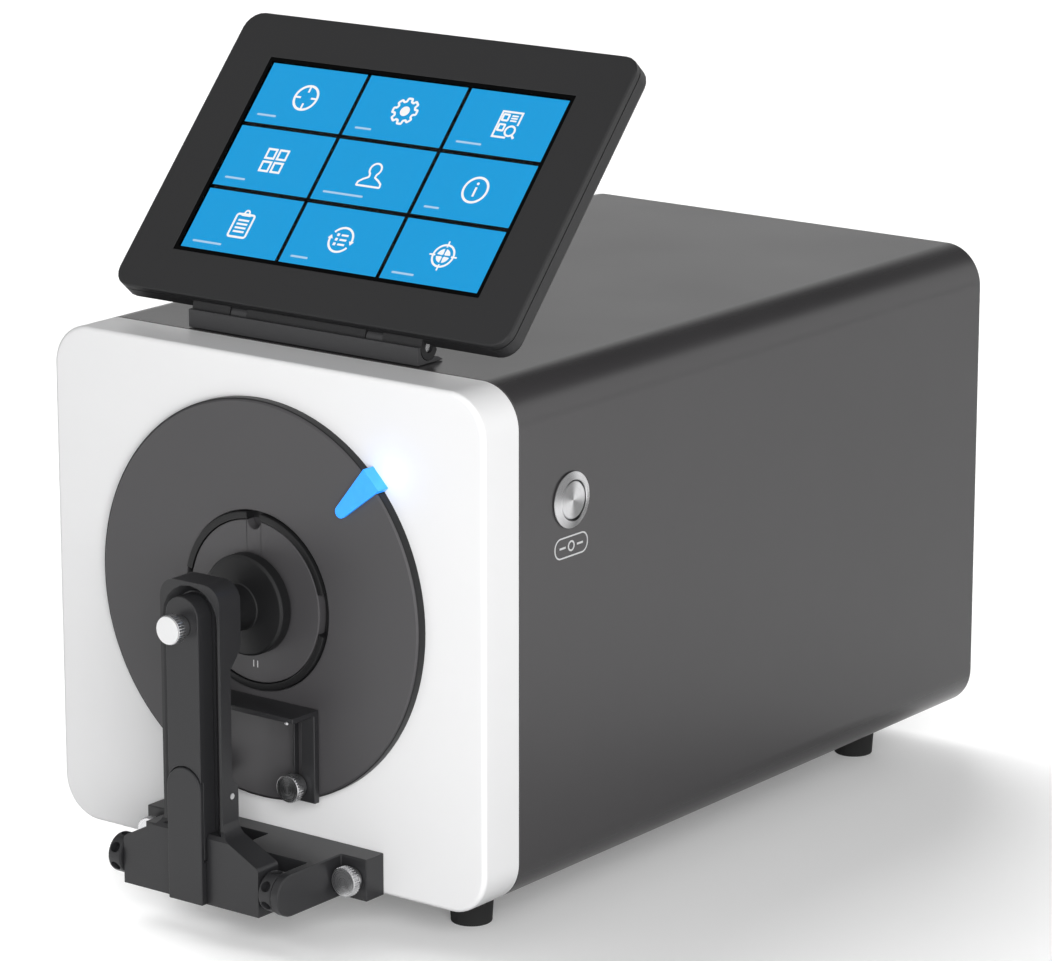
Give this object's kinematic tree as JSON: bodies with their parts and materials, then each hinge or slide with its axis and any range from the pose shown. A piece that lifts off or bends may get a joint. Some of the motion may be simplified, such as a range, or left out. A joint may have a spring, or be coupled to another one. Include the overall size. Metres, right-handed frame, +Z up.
{
  "type": "benchtop spectrophotometer",
  "caption": "Benchtop spectrophotometer: boxy housing with a round measuring port, sprung sample clamp, slotted shelf, side button and tilting touch screen.",
  "frame": {"origin": "middle of the instrument's footprint, clamp knob to rear, on the bench", "axes": "+X across the instrument towards the test button's side, -Y towards the user in front of the port, +Z up"},
  "size_m": [0.2168, 0.403, 0.3317],
  "materials": {
    "white_paint": "satin white paint",
    "charcoal_paint": "fine satin charcoal paint",
    "dark_anodised": "dark anodised, satin",
    "black_metal": "black anodised, satin",
    "screen_plastic": "fine matt dark grey",
    "touch_glass": "clear, glossy",
    "display": "lit blue display cell",
    "bright_steel": "brushed and turned steel",
    "white_plastic": "smooth white",
    "blue_guide": "translucent blue light guide, lit",
    "rubber": "matt black",
    "sphere_alloy": "machined outside, white diffuse lining",
    "sheet_steel": "zinc-plated sheet",
    "module_case": "plain folded aluminium",
    "circuit_board": "green circuit board"
  },
  "bodies": {
    "housing": {"aperture_ring": "black_metal", "button_bezel": "bright_steel", "button_contacts": "screen_plastic", "button_nut": "bright_steel", "chassis_tray": "sheet_steel", "clamp_axle": "bright_steel", "clamp_bracket": "black_metal", "foot_front_left": "rubber", "foot_front_right": "rubber", "foot_rear_left": "rubber", "foot_rear_right": "rubber", "front_panel": "white_paint", "hinge_base": "screen_plastic", "hinge_pin": "bright_steel", "lamp_module": "module_case", "light_guide": "blue_guide", "main_board": "circuit_board", "optics_bridge": "sheet_steel", "port_disc": "dark_anodised", "power_inlet": "black_metal", "power_supply": "module_case", "power_switch_case": "black_metal", "rear_panel": "charcoal_paint", "serial_socket": "bright_steel", "shutter_servo": "black_metal", "spectrometer_module": "black_metal", "sphere_front_half": "sphere_alloy", "sphere_rear_half": "sphere_alloy", "sphere_stand": "sheet_steel", "status_lamp": "white_plastic", "usb_socket": "bright_steel", "viewing_lens_barrel": "black_metal", "wrap_cover": "charcoal_paint"},
    "aperture": {"aperture_plate": "dark_anodised"},
    "shutter": {"gloss_shutter": "black_metal"},
    "rocker": {"power_switch_rocker": "screen_plastic"},
    "button": {"button_cap": "bright_steel"},
    "screen": {"screen_front_frame": "screen_plastic", "touch_glass": "touch_glass", "display_panel": "display", "display_driver": "circuit_board", "screen_rear_shell": "screen_plastic"},
    "clamp": {"clamp_arm": "black_metal", "arm_spine": "black_metal", "arm_cover_plate": "black_metal", "arm_dowel": "bright_steel", "plunger_spring": "bright_steel"},
    "plunger": {"plunger_bell": "black_metal", "pressure_pad": "rubber", "pull_knob": "bright_steel", "pull_knob_cap": "white_plastic"},
    "nut_left": {"capstan_nut_left": "black_metal"},
    "nut_right": {"capstan_nut_right": "black_metal"},
    "bracket_screw_left": {"bracket_screw_left": "bright_steel"},
    "bracket_screw_right": {"bracket_screw_right": "bright_steel"},
    "shelf": {"sample_shelf": "black_metal"},
    "shelf_screw_left": {"shelf_screw_left": "bright_steel"},
    "shelf_screw_right": {"shelf_screw_right": "bright_steel"}
  },
  "joints": [
    {"name": "screen_tilt", "type": "hinge", "parent": "housing", "child": "screen", "pos_m": [0, -0.1135, 0.2277], "axis": [1, 0, 0], "range_deg": [-46, 28]},
    {"name": "test_button", "type": "slide", "parent": "housing", "child": "button", "axis": [-1, 0, 0], "range_m": [0, 0.0015], "stiffness_N_per_m": 900, "springref_m": -0.0012},
    {"name": "clamp_swing", "type": "hinge", "parent": "housing", "child": "clamp", "pos_m": [0, -0.185, 0.0259], "axis": [1, 0, 0], "range_deg": [0, 80], "stiffness_Nm_per_rad": 0.12, "springref_deg": -51.57},
    {"name": "plunger_pull", "type": "slide", "parent": "clamp", "child": "plunger", "axis": [0, -1, 0], "range_m": [0, 0.005], "stiffness_N_per_m": 700, "springref_m": -0.006, "deforming": ["plunger_spring"]},
    {"name": "nut_left_turn", "type": "hinge", "parent": "housing", "child": "nut_left", "pos_m": [-0.0376, -0.185, 0.0259], "axis": [1, 0, 0], "continuous": true},
    {"name": "nut_right_turn", "type": "hinge", "parent": "housing", "child": "nut_right", "pos_m": [0.0389, -0.185, 0.0259], "axis": [1, 0, 0], "continuous": true},
    {"name": "bracket_screw_left_turn", "type": "hinge", "parent": "housing", "child": "bracket_screw_left", "pos_m": [-0.0468, -0.1555, 0.0259], "axis": [0, -1, 0], "continuous": true},
    {"name": "bracket_screw_right_turn", "type": "hinge", "parent": "housing", "child": "bracket_screw_right", "pos_m": [0.0524, -0.1555, 0.0259], "axis": [0, -1, 0], "continuous": true},
    {"name": "shelf_slide", "type": "slide", "parent": "housing", "child": "shelf", "axis": [0, 0, 1], "range_m": [-0.012, 0.0015]},
    {"name": "shelf_screw_left_turn", "type": "hinge", "parent": "housing", "child": "shelf_screw_left", "pos_m": [-0.0222, -0.1522, 0.0565], "axis": [0, -1, 0], "continuous": true},
    {"name": "shelf_screw_right_turn", "type": "hinge", "parent": "housing", "child": "shelf_screw_right", "pos_m": [0.0222, -0.1522, 0.0565], "axis": [0, -1, 0], "continuous": true},
    {"name": "aperture_turn", "type": "hinge", "parent": "housing", "child": "aperture", "pos_m": [0, -0.1471, 0.126], "axis": [0, -1, 0], "range_deg": [0, 30]},
    {"name": "power_switch", "type": "hinge", "parent": "housing", "child": "rocker", "pos_m": [-0.04, 0.1988, 0.062], "axis": [1, 0, 0], "range_deg": [-8, 8]},
    {"name": "gloss_shutter_turn", "type": "hinge", "parent": "housing", "child": "shutter", "pos_m": [-0.0216, 0.0221, 0.102], "axis": [0, 1, 0], "range_deg": [0, 45]}
  ]
}
